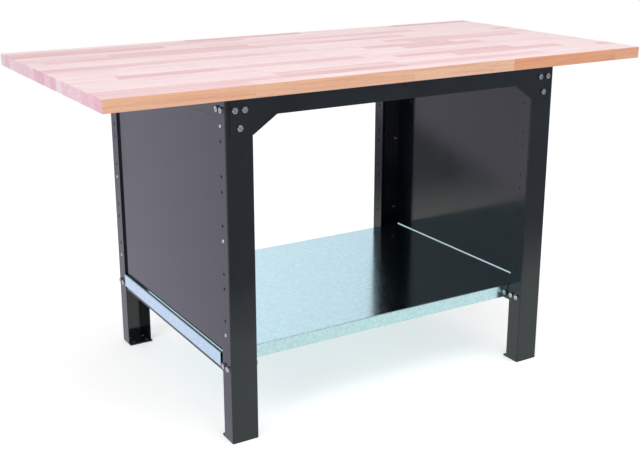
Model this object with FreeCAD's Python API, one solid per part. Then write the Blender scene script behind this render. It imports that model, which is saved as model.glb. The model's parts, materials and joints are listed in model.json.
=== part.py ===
import FreeCAD, Part
import math
import os

V = FreeCAD.Vector

# worktop board
top_width = 1500.0
top_depth = 750.0
top_thick = 30.0
bench_height = 850.0
top_edge_round = 2.0

# steel frame under the board
frame_width = 940.0
front_overhang = 28.0
rear_overhang = 9.0

# legs, folded open channels
leg_web = 68.0
leg_flange = 44.0
leg_sheet = 2.0
bend_outer = 3.0
bend_inner = 1.0

# foot plates welded under the legs
foot_depth = 57.0
foot_thick = 4.0
foot_corner = 3.0
foot_hole = 9.0
foot_hole_across = 40.0
foot_hole_along = 31.0

# accessory hole column in the leg flanges
column_hole = 7.0
column_inset = 25.0
column_drop = 63.0
column_pair = 35.0
column_period = 113.5
column_low_gap = 40.0

# cross rails, inverted channels between the leg flanges
rail_height = 45.0
rail_sheet = 2.0
cross_end_gap = 2.0
bolt_drop = 27.0
cross_bolt_first = 14.0
cross_bolt_pitch = 21.0
lower_rail_top = 214.8

# front and rear rails with gusset ends
rail_end_inset = 11.0
gusset_drop = 40.0
gusset_run = 59.0
rail_bolt_pitch = 24.0
rail_bolt_rise = 40.0
rail_top_flange = 30.0
rail_return = 15.0
rail_flange_gap = 2.0
rail_return_gap = 4.0
drain_hole = 6.0
drain_drop = 9.0

# side panels
panel_sheet = 1.2
panel_recess = 5.0
panel_lip = 38.0
panel_step_gap = 0.5
panel_top_gap = 2.0
panel_shelf_gap = 2.2

# galvanised shelf tray
shelf_sheet = 1.2
shelf_flange = 34.0
shelf_over = 3.0
shelf_leg_gap = 4.0
shelf_rail_gap = 2.0
shelf_bend = 2.0
shelf_bend_inner = 0.8

# hex bolts and nuts
bolt_d = 8.0
bolt_af = 13.0
bolt_head = 5.3
bolt_dish_d = 8.0
bolt_dish = 0.8
nut_high = 6.5
bolt_spare = 1.5
bolt_clear = 1.0
hex_chamfer = 1.0

# button head screws and nuts of the panels
screw_d = 5.0
screw_head_d = 9.5
screw_head = 2.75
screw_socket_af = 3.0
screw_socket = 1.5
screw_nut_af = 8.0
screw_nut = 4.7
screw_spare = 1.0

# wood screws of the worktop
wood_d = 4.5
wood_head_d = 9.0
wood_head = 2.5
wood_depth = 20.0
wood_tip = 4.0
wood_clear = 0.5
wood_pilot_spare = 1.0
rail_screw_pitch = 300.0
cross_screw_inset = 120.0

# derived levels and planes
half_frame = frame_width / 2
leg_x = half_frame - leg_web / 2
y_front = -top_depth / 2 + front_overhang
y_rear = top_depth / 2 - rear_overhang
y_mid = (y_front + y_rear) / 2
under_top = bench_height - top_thick
leg_edge = half_frame - leg_web
bolt_hole = bolt_d + bolt_clear
wood_hole = wood_d + wood_clear
upper_bolt_z = under_top - bolt_drop
lower_bolt_z = lower_rail_top - bolt_drop
gusset_bolt_z = upper_bolt_z - rail_bolt_rise
shelf_top = lower_rail_top + shelf_sheet
cross_width = leg_web - 2 * leg_sheet
cross_bolts = (cross_bolt_first, cross_bolt_first + cross_bolt_pitch)
panel_bottom = shelf_top + panel_shelf_gap

# as many hole pairs as the leg has room for above the shelf
column_first = under_top - column_drop
column_room = column_first - column_pair - panel_bottom - column_low_gap
column_z = []
for pair in range(int(column_room // column_period) + 1):
    column_z.append(column_first - pair * column_period)
    column_z.append(column_first - pair * column_period - column_pair)

# panel screws sit in the first, a middle and the last hole of each column
panel_screw_z = (column_z[0], column_z[len(column_z) // 2], column_z[-1])

X_AXIS = V(1, 0, 0)
Y_AXIS = V(0, 1, 0)
Z_AXIS = V(0, 0, 1)


def box(x0, x1, y0, y1, z0, z1):
    return Part.makeBox(x1 - x0, y1 - y0, z1 - z0, V(x0, y0, z0))


def rod(diameter, length, base, axis):
    return Part.makeCylinder(diameter / 2, length, base, axis)


def prism(points, direction):
    wire = Part.makePolygon(points + [points[0]])
    return Part.Face(wire).extrude(direction)


def turn(shape):
    # half turn about the vertical middle of the frame, front to rear
    out = shape.copy()
    out.rotate(V(0, y_mid, 0), Z_AXIS, 180)
    return out


def flip(shape):
    # left hand to right hand
    return shape.mirror(V(0, 0, 0), X_AXIS)


def point_along(shape, base, axis):
    # part drawn along +Z from the origin, set at base and pointed along axis
    out = shape.copy()
    out.Placement = FreeCAD.Placement(base, FreeCAD.Rotation(Z_AXIS, axis))
    return out


def edges_at(shape, direction, spots, reach=0.01):
    # straight edges along one direction that pass through given spots
    found = []
    for edge in shape.Edges:
        a = edge.Vertexes[0].Point
        b = edge.Vertexes[-1].Point
        run = b.sub(a)
        if run.Length < reach or run.cross(direction).Length > reach:
            continue
        for spot in spots:
            gap = spot.sub(a)
            if gap.sub(direction * gap.dot(direction)).Length < reach:
                found.append(edge)
    return found


def hexagon(across_flats, height, bore=0.0):
    # bevelled hexagon head or nut on the XY plane
    corner = across_flats / math.sqrt(3)
    points = []
    for k in range(6):
        a = math.radians(60 * k)
        points.append(V(corner * math.cos(a), corner * math.sin(a), 0))
    body = prism(points, V(0, 0, height))
    flat = across_flats / 2 - hex_chamfer / 2
    profile = [V(0, 0, 0), V(corner, 0, 0), V(corner, 0, height - hex_chamfer)]
    profile += [V(flat, 0, height), V(0, 0, height)]
    face = Part.Face(Part.makePolygon(profile + [profile[0]]))
    body = body.common(face.revolve(V(0, 0, 0), Z_AXIS, 360))
    if bore > 0:
        body = body.cut(rod(bore, height, V(0, 0, 0), Z_AXIS))
    return body.Solids[0]


def cap_radius(width, height):
    # ball whose cap has this width and height
    return (width ** 2 / 4 + height ** 2) / (2 * height)


def hex_bolt(grip):
    # head with a dished top below the XY plane, shank up through the grip and the nut
    head = hexagon(bolt_af, bolt_head)
    dish = cap_radius(bolt_dish_d, bolt_dish)
    head = head.cut(Part.makeSphere(dish, V(0, 0, bolt_head - bolt_dish + dish)))
    head.rotate(V(0, 0, 0), X_AXIS, 180)
    length = grip + nut_high + bolt_spare
    return head.fuse(rod(bolt_d, length, V(0, 0, 0), Z_AXIS)).removeSplitter().Solids[0]


def button_screw(grip):
    # domed head with a hexagon socket, below the XY plane
    dome = cap_radius(screw_head_d, screw_head)
    ball = Part.makeSphere(dome, V(0, 0, dome - screw_head))
    keep = rod(screw_head_d, screw_head, V(0, 0, -screw_head), Z_AXIS)
    socket = hexagon(screw_socket_af, screw_socket)
    socket.translate(V(0, 0, -screw_head))
    head = ball.common(keep).cut(socket)
    length = grip + screw_nut + screw_spare
    shank = rod(screw_d, length, V(0, 0, 0), Z_AXIS)
    return head.fuse(shank).removeSplitter().Solids[0]


def wood_screw(grip):
    # head below the XY plane, shank and point up into the board
    head = rod(wood_head_d, wood_head, V(0, 0, -wood_head), Z_AXIS)
    straight = grip + wood_depth - wood_tip
    shank = rod(wood_d, straight, V(0, 0, 0), Z_AXIS)
    tip = Part.makeCone(wood_d / 2, 0.0, wood_tip, V(0, 0, straight), Z_AXIS)
    return head.fuse(shank).fuse(tip).removeSplitter().Solids[0]


def leg(x, y_face, side):
    # channel leg at x with its web on y_face, open towards side
    half = leg_web / 2
    inner_half = half - leg_sheet
    body = box(-half, half, 0, leg_flange, foot_thick, under_top)
    body = body.cut(box(-inner_half, inner_half, leg_sheet, leg_flange, foot_thick, under_top))
    outer = [V(-half, 0, 0), V(half, 0, 0)]
    inner = [V(-inner_half, leg_sheet, 0), V(inner_half, leg_sheet, 0)]
    body = body.makeFillet(bend_outer, edges_at(body, Z_AXIS, outer))
    body = body.makeFillet(bend_inner, edges_at(body, Z_AXIS, inner))
    tools = []
    for z in column_z:
        tools.append(rod(column_hole, leg_web, V(-half, column_inset, z), X_AXIS))
    for z in (upper_bolt_z, lower_bolt_z):
        for y in cross_bolts:
            tools.append(rod(bolt_hole, leg_web, V(-half, y, z), X_AXIS))
    for dx, z in rail_bolt_spots:
        tools.append(rod(bolt_hole, leg_sheet, V(dx, 0, z), Y_AXIS))
    body = body.cut(Part.makeCompound(tools)).Solids[0]
    if side < 0:
        body.rotate(V(0, 0, 0), Z_AXIS, 180)
    body.translate(V(x, y_face, 0))
    return body


def foot(x, y_face, side):
    half = leg_web / 2
    body = box(-half, half, 0, foot_depth, 0, foot_thick)
    spots = [V(sx * half, y, 0) for sx in (-1, 1) for y in (0, foot_depth)]
    body = body.makeFillet(foot_corner, edges_at(body, Z_AXIS, spots))
    for sx in (-1, 1):
        for sy in (-1, 1):
            spot = V(sx * foot_hole_across / 2, foot_depth / 2 + sy * foot_hole_along / 2, 0)
            body = body.cut(rod(foot_hole, foot_thick, spot, Z_AXIS))
    body = body.Solids[0]
    if side < 0:
        body.rotate(V(0, 0, 0), Z_AXIS, 180)
    body.translate(V(x, y_face, 0))
    return body


def cross_rail(x, z_top, screw_ys):
    # inverted channel from web to web, its walls against the leg flanges
    half = cross_width / 2
    inner_half = half - rail_sheet
    y0 = y_front + leg_sheet + cross_end_gap
    y1 = y_rear - leg_sheet - cross_end_gap
    z0 = z_top - rail_height
    body = box(-half, half, y0, y1, z0, z_top)
    body = body.cut(box(-inner_half, inner_half, y0, y1, z0, z_top - rail_sheet))
    outer = [V(-half, 0, z_top), V(half, 0, z_top)]
    inner = [V(-inner_half, 0, z_top - rail_sheet), V(inner_half, 0, z_top - rail_sheet)]
    body = body.makeFillet(bend_outer, edges_at(body, Y_AXIS, outer))
    body = body.makeFillet(bend_inner, edges_at(body, Y_AXIS, inner))
    tools = []
    for y in cross_bolt_ys:
        tools.append(rod(bolt_hole, cross_width, V(-half, y, z_top - bolt_drop), X_AXIS))
    for y in screw_ys:
        tools.append(rod(wood_hole, rail_sheet, V(0, y, z_top - rail_sheet), Z_AXIS))
    body = body.cut(Part.makeCompound(tools)).Solids[0]
    body.translate(V(x, 0, 0))
    return body


def long_rail():
    # front rail: face with gusset ends, top flange and bottom return
    half = half_frame - rail_end_inset
    low = under_top - rail_height - gusset_drop
    mid = under_top - rail_height
    slope_end = leg_edge - gusset_run
    y0 = y_front - rail_sheet
    outline = [(-half, under_top), (-half, low), (-leg_edge, low), (-slope_end, mid)]
    outline += [(-x, z) for x, z in reversed(outline)]
    body = prism([V(x, y0, z) for x, z in outline], V(0, rail_sheet, 0))
    flange_x = leg_edge - rail_flange_gap
    return_x = slope_end - rail_return_gap
    z1 = under_top - rail_sheet
    body = body.fuse(box(-flange_x, flange_x, y0, y_front + rail_top_flange, z1, under_top))
    body = body.fuse(box(-return_x, return_x, y0, y_front + rail_return, mid, mid + rail_sheet))
    body = body.removeSplitter()
    tools = [rod(drain_hole, rail_sheet, V(0, y0, under_top - drain_drop), Y_AXIS)]
    for sx in (-1, 1):
        for dx, z in rail_bolt_spots:
            tools.append(rod(bolt_hole, rail_sheet, V(sx * leg_x + dx, y0, z), Y_AXIS))
    for x in rail_screw_xs:
        tools.append(rod(wood_hole, rail_sheet, V(x, rail_screw_y, z1), Z_AXIS))
    return body.cut(Part.makeCompound(tools)).Solids[0]


def side_panel():
    # left panel: lips behind the leg flanges, middle field set back by a step
    x_lip = -half_frame + leg_sheet
    x_face = -half_frame + panel_recess
    front = y_front + leg_flange
    rear = y_rear - leg_flange
    step0 = front + panel_step_gap
    step1 = rear - panel_step_gap
    lip0 = front - panel_lip
    lip1 = rear + panel_lip
    s = panel_sheet
    outline = [(x_lip, lip0), (x_lip, step0), (x_face, step0), (x_face, step1)]
    outline += [(x_lip, step1), (x_lip, lip1), (x_lip + s, lip1), (x_lip + s, step1 + s)]
    outline += [(x_face + s, step1 + s), (x_face + s, step0 - s), (x_lip + s, step0 - s)]
    outline += [(x_lip + s, lip0)]
    height = under_top - rail_height - panel_top_gap - panel_bottom
    body = prism([V(x, y, panel_bottom) for x, y in outline], V(0, 0, height))
    tools = []
    for y in (y_front + column_inset, y_rear - column_inset):
        for z in panel_screw_z:
            tools.append(rod(column_hole, panel_sheet, V(x_lip, y, z), X_AXIS))
    return body.cut(Part.makeCompound(tools)).Solids[0]


def shelf():
    # tray over the lower cross rails, edges folded down, corners cut back to the folds
    x1 = half_frame + shelf_over
    y0 = y_front + leg_flange + shelf_leg_gap
    y1 = y_rear - leg_flange - shelf_leg_gap
    z0 = shelf_top - shelf_flange
    s = shelf_sheet
    end_x = leg_edge + leg_sheet - shelf_rail_gap
    side0 = y0 + shelf_bend
    side1 = y1 - shelf_bend
    body = box(-x1, x1, side0, side1, z0, shelf_top).fuse(box(-end_x, end_x, y0, y1, z0, shelf_top))
    hollow = box(-x1 + s, x1 - s, side0, side1, z0, lower_rail_top)
    hollow = hollow.fuse(box(-end_x, end_x, y0 + s, y1 - s, z0, lower_rail_top))
    body = body.cut(hollow).removeSplitter()
    outer = edges_at(body, Y_AXIS, [V(-x1, 0, shelf_top), V(x1, 0, shelf_top)])
    outer += edges_at(body, X_AXIS, [V(0, y0, shelf_top), V(0, y1, shelf_top)])
    body = body.makeFillet(shelf_bend, outer)
    inner = edges_at(body, Y_AXIS, [V(-x1 + s, 0, lower_rail_top), V(x1 - s, 0, lower_rail_top)])
    inner += edges_at(body, X_AXIS, [V(0, y0 + s, lower_rail_top), V(0, y1 - s, lower_rail_top)])
    return body.makeFillet(shelf_bend_inner, inner).Solids[0]


def worktop():
    body = box(-top_width / 2, top_width / 2, -top_depth / 2, top_depth / 2, under_top, bench_height)
    body = body.makeFillet(top_edge_round, body.Edges)
    pilots = []
    for spot in wood_spots:
        pilots.append(rod(wood_d, wood_depth + wood_pilot_spare, spot, Z_AXIS))
    return body.cut(Part.makeCompound(pilots)).Solids[0]


# fastener spots shared by the pieces they join
rail_bolt_spots = [(-rail_bolt_pitch / 2, upper_bolt_z), (rail_bolt_pitch / 2, upper_bolt_z)]
rail_bolt_spots.append((0.0, gusset_bolt_z))
cross_bolt_ys = [y_front + y for y in cross_bolts] + [y_rear - y for y in cross_bolts]
rail_screw_y = y_front + rail_top_flange / 2
rail_screw_xs = (-rail_screw_pitch, 0.0, rail_screw_pitch)
cross_screw_ys = (y_front + cross_screw_inset, y_rear - cross_screw_inset)
wood_spots = []
for x in rail_screw_xs:
    wood_spots.append(V(x, rail_screw_y, under_top))
    wood_spots.append(V(x, 2 * y_mid - rail_screw_y, under_top))
for sx in (-1, 1):
    for y in cross_screw_ys:
        wood_spots.append(V(sx * leg_x, y, under_top))

nodes = {"worktop": worktop(), "shelf": shelf()}
nodes["rail_front"] = long_rail()
nodes["rail_rear"] = turn(nodes["rail_front"])
nodes["side_panel_left"] = side_panel()
nodes["side_panel_right"] = flip(nodes["side_panel_left"])
for hand, sx in (("left", -1), ("right", 1)):
    nodes["leg_front_" + hand] = leg(sx * leg_x, y_front, 1)
    nodes["leg_rear_" + hand] = leg(sx * leg_x, y_rear, -1)
    nodes["foot_front_" + hand] = foot(sx * leg_x, y_front, 1)
    nodes["foot_rear_" + hand] = foot(sx * leg_x, y_rear, -1)
    nodes["upper_rail_" + hand] = cross_rail(sx * leg_x, under_top, cross_screw_ys)
    nodes["lower_rail_" + hand] = cross_rail(sx * leg_x, lower_rail_top, ())

# bolts and nuts of the front and rear rails
rail_grip = rail_sheet + leg_sheet
rail_bolt = hex_bolt(rail_grip)
frame_nut = hexagon(bolt_af, nut_high, bolt_d)
front_bolts = []
front_nuts = []
for sx in (-1, 1):
    for dx, z in rail_bolt_spots:
        x = sx * leg_x + dx
        front_bolts.append(point_along(rail_bolt, V(x, y_front - rail_sheet, z), Y_AXIS))
        front_nuts.append(point_along(frame_nut, V(x, y_front + leg_sheet, z), Y_AXIS))
nodes["rail_bolts_front"] = Part.makeCompound(front_bolts)
nodes["rail_nuts_front"] = Part.makeCompound(front_nuts)
nodes["rail_bolts_rear"] = Part.makeCompound([turn(b) for b in front_bolts])
nodes["rail_nuts_rear"] = Part.makeCompound([turn(n) for n in front_nuts])

# bolts and nuts of the cross rails, both flanges of every leg
cross_grip = leg_sheet + rail_sheet
cross_bolt = hex_bolt(cross_grip)
for level, z in (("upper", upper_bolt_z), ("lower", lower_bolt_z)):
    bolts = []
    nuts = []
    for sx in (-1, 1):
        for y in cross_bolt_ys:
            for out in (-1, 1):
                face = sx * leg_x + out * leg_web / 2
                inward = V(-out, 0, 0)
                bolts.append(point_along(cross_bolt, V(face, y, z), inward))
                nuts.append(point_along(frame_nut, V(face - out * cross_grip, y, z), inward))
    nodes[level + "_rail_bolts"] = Part.makeCompound(bolts)
    nodes[level + "_rail_nuts"] = Part.makeCompound(nuts)

# screws and nuts of the side panels
panel_grip = leg_sheet + panel_sheet
panel_screw = button_screw(panel_grip)
panel_nut = hexagon(screw_nut_af, screw_nut, screw_d)
screws = []
nuts = []
for y in (y_front + column_inset, y_rear - column_inset):
    for z in panel_screw_z:
        screws.append(point_along(panel_screw, V(-half_frame, y, z), X_AXIS))
        nuts.append(point_along(panel_nut, V(-half_frame + panel_grip, y, z), X_AXIS))
nodes["panel_screws_left"] = Part.makeCompound(screws)
nodes["panel_nuts_left"] = Part.makeCompound(nuts)
nodes["panel_screws_right"] = Part.makeCompound([flip(s) for s in screws])
nodes["panel_nuts_right"] = Part.makeCompound([flip(n) for n in nuts])

# screws up into the board
board_screw = wood_screw(rail_sheet)
base_drop = V(0, 0, rail_sheet)
nodes["worktop_screws"] = Part.makeCompound(
    [point_along(board_screw, spot.sub(base_drop), Z_AXIS) for spot in wood_spots])

os.makedirs("parts", exist_ok=True)
for name, shape in nodes.items():
    shape.exportStep("parts/" + name + ".step")
    print(name, len(shape.Solids), shape.isValid(), round(shape.Volume / 1000, 1), "cm3")
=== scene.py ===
import bpy
import json
import math
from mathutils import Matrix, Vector

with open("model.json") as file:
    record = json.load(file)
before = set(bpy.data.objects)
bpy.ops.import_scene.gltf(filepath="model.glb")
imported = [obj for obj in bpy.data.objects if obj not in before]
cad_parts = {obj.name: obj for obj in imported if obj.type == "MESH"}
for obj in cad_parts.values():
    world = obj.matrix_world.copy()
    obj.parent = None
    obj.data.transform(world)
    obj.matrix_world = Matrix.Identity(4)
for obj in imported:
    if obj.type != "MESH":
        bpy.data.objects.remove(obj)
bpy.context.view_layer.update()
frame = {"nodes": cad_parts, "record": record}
print("frame loaded:", len(frame["nodes"]), "nodes")


def linear(hexColour):
    channels = []
    for k in (1, 3, 5):
        s = int(hexColour[k:k + 2], 16) / 255
        channels.append(s / 12.92 if s <= 0.04045 else ((s + 0.055) / 1.055) ** 2.4)
    return (*channels, 1.0)


def perMm(size):
    # texture scale for a feature of this size, scenes being in metres
    return 1000.0 / size


def metres(size):
    return size / 1000.0


def add(tree, kind, inputs=None, ramp=None, **settings):
    # one node with its settings; an input is a value, or (node, output) for a link
    n = tree.nodes.new(kind)
    for key, value in settings.items():
        setattr(n, key, value)
    for key, value in (inputs or {}).items():
        if isinstance(value, tuple) and isinstance(value[0], bpy.types.Node):
            tree.links.new(value[0].outputs[value[1]], n.inputs[key])
        else:
            n.inputs[key].default_value = value
    if ramp:
        stops = n.color_ramp.elements
        while len(stops) < len(ramp):
            stops.new(1.0)
        for stop, (place, colour) in zip(stops, ramp):
            stop.position = place
            stop.color = colour
    return n


def startMaterial(name):
    m = bpy.data.materials.new(name)
    m.use_nodes = True
    m.node_tree.nodes.clear()
    return m, m.node_tree


def finishMaterial(tree, shader):
    add(tree, "ShaderNodeOutputMaterial", {"Surface": (shader, 0)})


def grey(v):
    return (v, v, v, 1.0)


# worktop: steamed beech, planed staves glued edge to edge, thin clear oil; sizes in mm
beech = {
    "paleStave": "#f9e4e6",
    "midStave": "#f7dddf",
    "darkStave": "#e8bfc1",
    "edgePale": "#f8c8a7",
    "edgeDeep": "#f1a77a",
    "endPale": "#fde6ee",
    "endDeep": "#f1c1d1",
    "cutStrength": 0.95,   # how far edges and ends leave the tone of the face
    "ringTint": "#e0bfb8",
    "ringStrength": 0.45,
    "fleckTint": "#d0a69c",
    "fleckStrength": 0.35,
    "glueTint": "#c9a39a",
    "glueStrength": 0.3,
    "staveWidth": 42.0,
    "staveLength": 330.0,
    "rowJump": 37.31,      # sets the breaks of one row apart from the next
    "staveShift": 3.0,     # moves the grain from stave to stave
    "glueWidth": 0.9,
    "ringSpacing": 7.0,
    "ringStretch": 0.035,  # rings are drawn out along the stave
    "fleckLength": 14.0,
    "fleckWidth": 1.6,
    "fleckBump": 0.08,
    "fleckDepth": 0.4,
    "smoothest": 0.45,
    "roughest": 0.57,
    "ior": 1.42,
}


def makeBeech():
    # pinkish blond staves of random length and tone, fine flecks, soft satin sheen
    b = beech
    m, t = startMaterial("oiled_beech_staves")
    place = add(t, "ShaderNodeTexCoord")
    xyz = add(t, "ShaderNodeSeparateXYZ", {0: (place, "Object")})

    # row of staves from the depth, then random breaks along each row
    across = add(t, "ShaderNodeMath", {0: (xyz, "Y"), 1: perMm(b["staveWidth"])}, operation="MULTIPLY")
    row = add(t, "ShaderNodeMath", {0: (across, 0)}, operation="FLOOR")
    rowPlace = add(t, "ShaderNodeMath", {0: (across, 0)}, operation="FRACT")
    rowJump = add(t, "ShaderNodeMath", {0: (row, 0), 1: b["rowJump"]}, operation="MULTIPLY")
    along = add(t, "ShaderNodeMath", {0: (xyz, "X"), 1: perMm(b["staveLength"]), 2: (rowJump, 0)},
                operation="MULTIPLY_ADD")
    stave = add(t, "ShaderNodeTexVoronoi", {"W": (along, 0), "Scale": 1.0}, voronoi_dimensions="1D")
    endGap = add(t, "ShaderNodeTexVoronoi", {"W": (along, 0), "Scale": 1.0}, voronoi_dimensions="1D",
                 feature="DISTANCE_TO_EDGE")
    chance = add(t, "ShaderNodeSeparateColor", {0: (stave, "Color")})

    # tone of each stave on the sanded face, on the planed long edges and on the end grain
    faceTone = add(t, "ShaderNodeValToRGB", {0: (chance, "Red")}, ramp=[
        (0.0, linear(b["darkStave"])), (0.35, linear(b["midStave"])), (1.0, linear(b["paleStave"]))])
    edgeTone = add(t, "ShaderNodeValToRGB", {0: (chance, "Green")}, ramp=[
        (0.0, linear(b["edgeDeep"])), (1.0, linear(b["edgePale"]))])
    endTone = add(t, "ShaderNodeValToRGB", {0: (chance, "Blue")}, ramp=[
        (0.0, linear(b["endDeep"])), (1.0, linear(b["endPale"]))])
    face = add(t, "ShaderNodeNewGeometry")
    facing = add(t, "ShaderNodeSeparateXYZ", {0: (face, "True Normal")})
    upright = add(t, "ShaderNodeMath", {0: (facing, "Z")}, operation="ABSOLUTE")
    endways = add(t, "ShaderNodeMath", {0: (facing, "X")}, operation="ABSOLUTE")
    cutMask = add(t, "ShaderNodeMapRange", {0: (upright, 0), 1: 0.9, 2: 0.4, 3: 0.0, 4: b["cutStrength"]})
    cutTone = add(t, "ShaderNodeMix", {0: (endways, 0), 6: (edgeTone, 0), 7: (endTone, 0)},
                  data_type="RGBA")
    tone = add(t, "ShaderNodeMix", {0: (cutMask, 0), 6: (faceTone, 0), 7: (cutTone, 2)}, data_type="RGBA")

    # growth rings, drawn out along the stave, shifted from stave to stave
    shift = add(t, "ShaderNodeVectorMath", {0: (stave, "Color"), 1: (b["staveShift"],) * 3},
                operation="MULTIPLY")
    shifted = add(t, "ShaderNodeVectorMath", {0: (place, "Object"), 1: (shift, 0)}, operation="ADD")
    ringScale = perMm(b["ringSpacing"])
    stretched = add(t, "ShaderNodeMapping", {
        0: (shifted, 0), "Scale": (ringScale * b["ringStretch"], ringScale, ringScale)})
    rings = add(t, "ShaderNodeTexNoise", {
        "Vector": (stretched, 0), "Scale": 1.0, "Detail": 3.0, "Roughness": 0.55})
    ringMask = add(t, "ShaderNodeMapRange", {0: (rings, 0), 1: 0.42, 2: 0.72, 3: 0.0, 4: b["ringStrength"]})
    ringed = add(t, "ShaderNodeMix", {0: (ringMask, 0), 6: (tone, 2), 7: linear(b["ringTint"])},
                 data_type="RGBA", blend_type="MULTIPLY")

    # ray flecks, real ones are 3 mm by 0.3 mm and are drawn coarser so that they show
    fleckScale = (perMm(b["fleckLength"]), perMm(b["fleckWidth"]), perMm(b["fleckWidth"]))
    fleckPlace = add(t, "ShaderNodeMapping", {0: (shifted, 0), "Scale": fleckScale})
    flecks = add(t, "ShaderNodeTexNoise", {"Vector": (fleckPlace, 0), "Scale": 1.0, "Detail": 1.0})
    fleckMask = add(t, "ShaderNodeMapRange", {
        0: (flecks, 0), 1: 0.6, 2: 0.78, 3: 0.0, 4: b["fleckStrength"]})
    flecked = add(t, "ShaderNodeMix", {0: (fleckMask, 0), 6: (ringed, 2), 7: linear(b["fleckTint"])},
                  data_type="RGBA", blend_type="MULTIPLY")

    # glue lines between rows and at the stave ends
    fromMiddle = add(t, "ShaderNodeMath", {0: (rowPlace, 0), 1: 0.5}, operation="SUBTRACT")
    offMiddle = add(t, "ShaderNodeMath", {0: (fromMiddle, 0)}, operation="ABSOLUTE")
    rowEdge = 0.5 - b["glueWidth"] / b["staveWidth"] / 2
    rowLine = add(t, "ShaderNodeMath", {0: (offMiddle, 0), 1: rowEdge}, operation="GREATER_THAN")
    endLine = add(t, "ShaderNodeMath", {0: (endGap, "Distance"), 1: b["glueWidth"] / b["staveLength"] / 2},
                  operation="LESS_THAN")
    anyLine = add(t, "ShaderNodeMath", {0: (rowLine, 0), 1: (endLine, 0)}, operation="MAXIMUM")
    lineMask = add(t, "ShaderNodeMath", {0: (anyLine, 0), 1: b["glueStrength"]}, operation="MULTIPLY")
    colour = add(t, "ShaderNodeMix", {0: (lineMask, 0), 6: (flecked, 2), 7: linear(b["glueTint"])},
                 data_type="RGBA", blend_type="MULTIPLY")

    rough = add(t, "ShaderNodeMapRange", {
        0: (rings, 0), 1: 0.3, 2: 0.7, 3: b["smoothest"], 4: b["roughest"]})
    bump = add(t, "ShaderNodeBump", {
        "Height": (flecks, 0), "Strength": b["fleckBump"], "Distance": metres(b["fleckDepth"])})
    shader = add(t, "ShaderNodeBsdfPrincipled", {
        "Base Color": (colour, 2), "Roughness": (rough, 0), "Normal": (bump, 0), "IOR": b["ior"]})
    finishMaterial(t, shader)
    return m


# frame: mild steel sheet, polyester powder coat in anthracite; sizes in mm
coat = {
    "tone": "#111920",
    "dust": "#1b232a",
    "handling": 90.0,   # size of the smears
    "peel": 3.0,
    "peelBump": 0.04,
    "peelDepth": 0.2,
    "smoothest": 0.08,
    "roughest": 0.15,
    "ior": 1.55,
}


def makeCoat():
    # near black blue grey, semi gloss with a faint orange peel and soft smears
    c = coat
    m, t = startMaterial("anthracite_powder_coat")
    place = add(t, "ShaderNodeTexCoord")
    smears = add(t, "ShaderNodeTexNoise", {
        "Vector": (place, "Object"), "Scale": perMm(c["handling"]), "Detail": 4.0})
    tone = add(t, "ShaderNodeValToRGB", {0: (smears, 0)}, ramp=[
        (0.35, linear(c["tone"])), (0.8, linear(c["dust"]))])
    rough = add(t, "ShaderNodeMapRange", {
        0: (smears, 0), 1: 0.3, 2: 0.7, 3: c["smoothest"], 4: c["roughest"]})
    peel = add(t, "ShaderNodeTexNoise", {
        "Vector": (place, "Object"), "Scale": perMm(c["peel"]), "Detail": 2.0})
    bump = add(t, "ShaderNodeBump", {
        "Height": (peel, 0), "Strength": c["peelBump"], "Distance": metres(c["peelDepth"])})
    shader = add(t, "ShaderNodeBsdfPrincipled", {
        "Base Color": (tone, 0), "Roughness": (rough, 0), "Normal": (bump, 0), "IOR": c["ior"]})
    finishMaterial(t, shader)
    return m


# shelf: hot dip galvanised sheet; sizes in mm
galvanised = {
    "bright": "#cfebf4",
    "dull": "#c3e1eb",
    "spangle": 7.0,
    "spangleBend": 6.0,      # how far the crystals' outlines wander
    "rollingLength": 125.0,
    "rollingWidth": 2.5,
    "rollingBump": 0.006,
    "rollingDepth": 0.2,
    "smoothest": 0.12,
    "roughest": 0.17,
}


def makeGalvanised():
    # cool silver with flat zinc crystals that catch the light differently
    g = galvanised
    m, t = startMaterial("galvanised_sheet")
    place = add(t, "ShaderNodeTexCoord")
    warp = add(t, "ShaderNodeTexNoise", {
        "Vector": (place, "Object"), "Scale": perMm(g["spangle"] / 2), "Detail": 2.0})
    push = add(t, "ShaderNodeVectorMath", {0: (warp, "Color"), "Scale": metres(g["spangleBend"])},
               operation="SCALE")
    bent = add(t, "ShaderNodeVectorMath", {0: (place, "Object"), 1: (push, 0)}, operation="ADD")
    crystals = add(t, "ShaderNodeTexVoronoi", {"Vector": (bent, 0), "Scale": perMm(g["spangle"])})
    chance = add(t, "ShaderNodeSeparateColor", {0: (crystals, "Color")})
    tone = add(t, "ShaderNodeValToRGB", {0: (chance, "Red")}, ramp=[
        (0.0, linear(g["dull"])), (1.0, linear(g["bright"]))])
    rough = add(t, "ShaderNodeMapRange", {0: (chance, "Green"), 3: g["smoothest"], 4: g["roughest"]})
    rollingScale = (perMm(g["rollingLength"]), perMm(g["rollingWidth"]), perMm(g["rollingWidth"]))
    rolled = add(t, "ShaderNodeMapping", {0: (place, "Object"), "Scale": rollingScale})
    lines = add(t, "ShaderNodeTexNoise", {"Vector": (rolled, 0), "Scale": 1.0, "Detail": 2.0})
    bump = add(t, "ShaderNodeBump", {
        "Height": (lines, 0), "Strength": g["rollingBump"], "Distance": metres(g["rollingDepth"])})
    shader = add(t, "ShaderNodeBsdfPrincipled", {
        "Base Color": (tone, 0), "Metallic": 1.0, "Roughness": (rough, 0), "Normal": (bump, 0)})
    finishMaterial(t, shader)
    return m


# bolts, nuts and screws: zinc plated steel; blotch in mm
plating = {"clean": "#d4d8db", "matte": "#a9afb5", "blotch": 4.0, "smoothest": 0.2, "roughest": 0.3}


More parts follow.
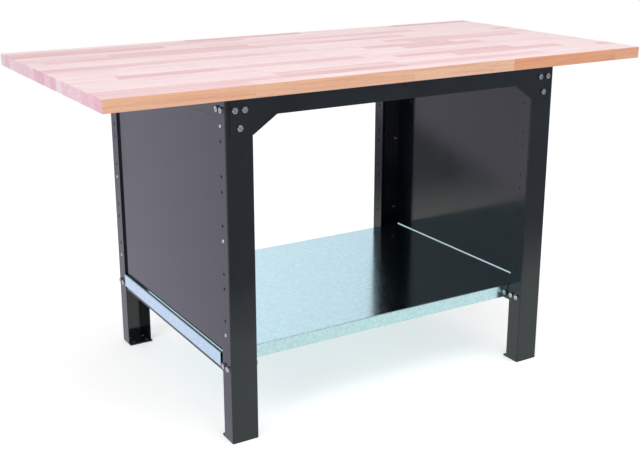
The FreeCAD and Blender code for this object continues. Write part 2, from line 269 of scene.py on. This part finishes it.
def makePlating():
    # bright silver, a little uneven where the bath left it matte
    p = plating
    m, t = startMaterial("zinc_plated_steel")
    place = add(t, "ShaderNodeTexCoord")
    blotch = add(t, "ShaderNodeTexNoise", {
        "Vector": (place, "Object"), "Scale": perMm(p["blotch"]), "Detail": 3.0})
    tone = add(t, "ShaderNodeValToRGB", {0: (blotch, 0)}, ramp=[
        (0.3, linear(p["matte"])), (0.7, linear(p["clean"]))])
    rough = add(t, "ShaderNodeMapRange", {
        0: (blotch, 0), 1: 0.3, 2: 0.7, 3: p["roughest"], 4: p["smoothest"]})
    shader = add(t, "ShaderNodeBsdfPrincipled", {
        "Base Color": (tone, 0), "Metallic": 1.0, "Roughness": (rough, 0)})
    finishMaterial(t, shader)
    return m


finishes = {"beech": makeBeech(), "anthracite_coat": makeCoat(), "galvanised": makeGalvanised(),
            "zinc_fasteners": makePlating()}
for entry in frame["record"]["subparts"]:
    piece = frame["nodes"][entry["node"]]
    piece.data.materials.clear()
    piece.data.materials.append(finishes[entry["material_slot"]])
print("materials set:", sorted(finishes))

# studio: white paper floor that runs on to a white background; sizes in metres
studio = {
    "paper": "#f2f2f2",
    "floorSize": 40.0,
    "glow": 0.45,
    # how bright the paper glows in mirrors, a painted reflection and no lamp: a pool along the bench, then
    # the rest
    "poolReflectionTint": "#f4fbf4",
    "poolMiddle": 0.05,
    "poolHalf": 0.88,
    "poolEdge": 0.45,
    "poolReflectionGlow": 0.96,
    "beyondReflectionTint": "#eef0fa",
    "beyondReflectionGlow": 0.4,
    # the glow of the paper left of the bench, as far back as a slanting line, a painted reflection seen in
    # the left panel
    "leftReflectionTint": "#f2ecff",
    "leftReflectionGlow": 1.0,
    "leftEdge": -0.46,
    "leftFade": 0.05,
    "leftSlope": 2.76,
    "leftLine": -0.93,
    "lineFade": 0.3,
    # the background in mirrors, greyer over the given spans of direction
    "skyTint": "#f6fcff",
    "skyLeft": 0.45,
    "skyLeftSpan": (-0.3, 0.15),
    "skyFront": 0.35,
    "skyFrontSpan": (-0.5, 0.1),
    "skyRight": 0.86,
    "skyRightSpan": (0.42, 0.56),
    "ambient": 0.62,
}


def directRays(tree):
    # rays that meet the background straight from the camera or through a gap
    rays = add(tree, "ShaderNodeLightPath")
    direct = add(tree, "ShaderNodeMath", {0: (rays, "Is Camera Ray"), 1: (rays, "Is Transmission Ray")},
                 operation="MAXIMUM")
    return rays, direct


def makeFloor():
    # white paper with the bench's soft shadow; in mirrors it glows with painted light, bright near the
    # bench and greyer beyond
    s = studio
    m, t = startMaterial("white_paper_sweep")
    rays, direct = directRays(t)
    paper = add(t, "ShaderNodeBsdfDiffuse", {"Color": linear(s["paper"])})
    glow = add(t, "ShaderNodeEmission", {"Color": grey(1.0), "Strength": s["glow"]})
    lit = add(t, "ShaderNodeAddShader", {0: (paper, 0), 1: (glow, 0)})

    # painted reflection: a pool of brighter glow along the bench, seen only in mirrors
    place = add(t, "ShaderNodeTexCoord")
    xyz = add(t, "ShaderNodeSeparateXYZ", {0: (place, "Object")})
    fromMiddle = add(t, "ShaderNodeMath", {0: (xyz, "Y"), 1: s["poolMiddle"]}, operation="SUBTRACT")
    away = add(t, "ShaderNodeMath", {0: (fromMiddle, 0)}, operation="ABSOLUTE")
    poolReflectionMask = add(t, "ShaderNodeMapRange", {
        0: (away, 0), 1: s["poolHalf"], 2: s["poolHalf"] + s["poolEdge"], 3: 1.0, 4: 0.0})
    level = add(t, "ShaderNodeMix", {0: (poolReflectionMask, 0), 2: s["beyondReflectionGlow"], 3: s["poolReflectionGlow"]})
    tone = add(t, "ShaderNodeMix", {
        0: (poolReflectionMask, 0), 6: linear(s["beyondReflectionTint"]), 7: linear(s["poolReflectionTint"])}, data_type="RGBA")

    # painted reflection: left of the bench the glow seen in mirrors is brighter and a little lavender
    beside = add(t, "ShaderNodeMapRange", {
        0: (xyz, "X"), 1: s["leftEdge"], 2: s["leftEdge"] - s["leftFade"], 3: 0.0, 4: 1.0})
    slant = add(t, "ShaderNodeMath", {0: (xyz, "X"), 1: s["leftSlope"], 2: (xyz, "Y")},
                operation="MULTIPLY_ADD")
    ahead = add(t, "ShaderNodeMapRange", {
        0: (slant, 0), 1: s["leftLine"] + s["lineFade"], 2: s["leftLine"], 3: 0.0, 4: 1.0})
    leftReflectionMask = add(t, "ShaderNodeMath", {0: (beside, 0), 1: (ahead, 0)}, operation="MINIMUM")
    strength = add(t, "ShaderNodeMix", {0: (leftReflectionMask, 0), 2: (level, 0), 3: s["leftReflectionGlow"]})
    tint = add(t, "ShaderNodeMix", {0: (leftReflectionMask, 0), 6: (tone, 2), 7: linear(s["leftReflectionTint"])},
               data_type="RGBA")

    # glow seen only by mirror rays: painted reflection, the paper is no lamp
    mirrored = add(t, "ShaderNodeEmission", {"Color": (tint, 2), "Strength": (strength, 0)})
    plain = add(t, "ShaderNodeMixShader", {0: (direct, 0), 1: (paper, 0), 2: (lit, 0)})
    mixed = add(t, "ShaderNodeMixShader", {0: (rays, "Is Glossy Ray"), 1: (plain, 0), 2: (mirrored, 0)})
    finishMaterial(t, mixed)
    return m


def setWorld():
    # white to the camera, plain soft light on the bench, and a background for mirrors
    s = studio
    world = bpy.data.worlds.new("studio")
    bpy.context.scene.world = world
    world.use_nodes = True
    t = world.node_tree
    t.nodes.clear()
    rays, direct = directRays(t)
    way = add(t, "ShaderNodeTexCoord")
    xyz = add(t, "ShaderNodeSeparateXYZ", {0: (way, "Generated")})
    leftStart, leftEnd = s["skyLeftSpan"]
    frontStart, frontEnd = s["skyFrontSpan"]
    rightStart, rightEnd = s["skyRightSpan"]
    fromLeft = add(t, "ShaderNodeMapRange", {
        0: (xyz, "X"), 1: leftStart, 2: leftEnd, 3: s["skyLeft"], 4: 1.0})
    fromFront = add(t, "ShaderNodeMapRange", {
        0: (xyz, "Y"), 1: frontStart, 2: frontEnd, 3: s["skyFront"], 4: 1.0})
    fromRight = add(t, "ShaderNodeMapRange", {
        0: (xyz, "X"), 1: rightStart, 2: rightEnd, 3: 1.0, 4: s["skyRight"]})
    leftAndFront = add(t, "ShaderNodeMath", {0: (fromLeft, 0), 1: (fromFront, 0)}, operation="MINIMUM")
    level = add(t, "ShaderNodeMath", {0: (leftAndFront, 0), 1: (fromRight, 0)}, operation="MINIMUM")
    softLight = add(t, "ShaderNodeBackground", {"Color": grey(1.0), "Strength": s["ambient"]})
    white = add(t, "ShaderNodeBackground", {"Color": grey(1.0), "Strength": 1.0})
    mirrored = add(t, "ShaderNodeBackground", {"Color": linear(s["skyTint"]), "Strength": (level, 0)})
    plain = add(t, "ShaderNodeMixShader", {0: (direct, 0), 1: (softLight, 0), 2: (white, 0)})
    mixed = add(t, "ShaderNodeMixShader", {0: (rays, "Is Glossy Ray"), 1: (plain, 0), 2: (mirrored, 0)})
    add(t, "ShaderNodeOutputWorld", {"Surface": (mixed, 0)})


bpy.ops.mesh.primitive_plane_add(size=studio["floorSize"])
floor = bpy.context.object
floor.name = "floor"
floor.data.materials.append(makeFloor())
setWorld()

# white softboxes; places and sizes in metres, power in watts
lamps = [
    {"name": "front_softbox", "at": (0.3, -1.0, 3.0), "aim": (0.0, -0.2, 0.8), "size": 2.4, "power": 32.0},
    {"name": "left_softbox", "at": (-3.2, -1.2, 1.8), "aim": (-0.3, 0.0, 0.5), "size": 1.8, "power": 28.0},
]
for lamp in lamps:
    data = bpy.data.lights.new(lamp["name"], "AREA")
    data.shape = "SQUARE"
    data.size = lamp["size"]
    data.energy = lamp["power"]
    light = bpy.data.objects.new(lamp["name"], data)
    light.location = lamp["at"]
    aim = Vector(lamp["aim"]) - Vector(lamp["at"])
    light.rotation_euler = aim.to_track_quat("-Z", "Y").to_euler()
    light.visible_camera = False
    bpy.context.scene.collection.objects.link(light)
print("studio set:", len(lamps), "lamps")

# camera: front left of the bench, a little above it; place in metres, angles in degrees
view = {
    "at": (-1.4141, -2.3012, 1.2189),
    "turn": 31.157,
    "down": 16.256,
    "focalPixels": 1030.7,
    "imageWidth": 640,
    "sensorWidth": 36.0,
    "shift": -0.05,
}
camData = bpy.data.cameras.new("photo_camera")
camData.sensor_width = view["sensorWidth"]
camData.lens = view["focalPixels"] * view["sensorWidth"] / view["imageWidth"]
camData.shift_y = view["shift"]
camera = bpy.data.objects.new("photo_camera", camData)
camera.location = view["at"]
camera.rotation_euler = (math.radians(90 - view["down"]), 0.0, math.radians(-view["turn"]))
bpy.context.scene.collection.objects.link(camera)
bpy.context.scene.camera = camera
bpy.context.scene.view_settings.view_transform = "Standard"
print("camera set")
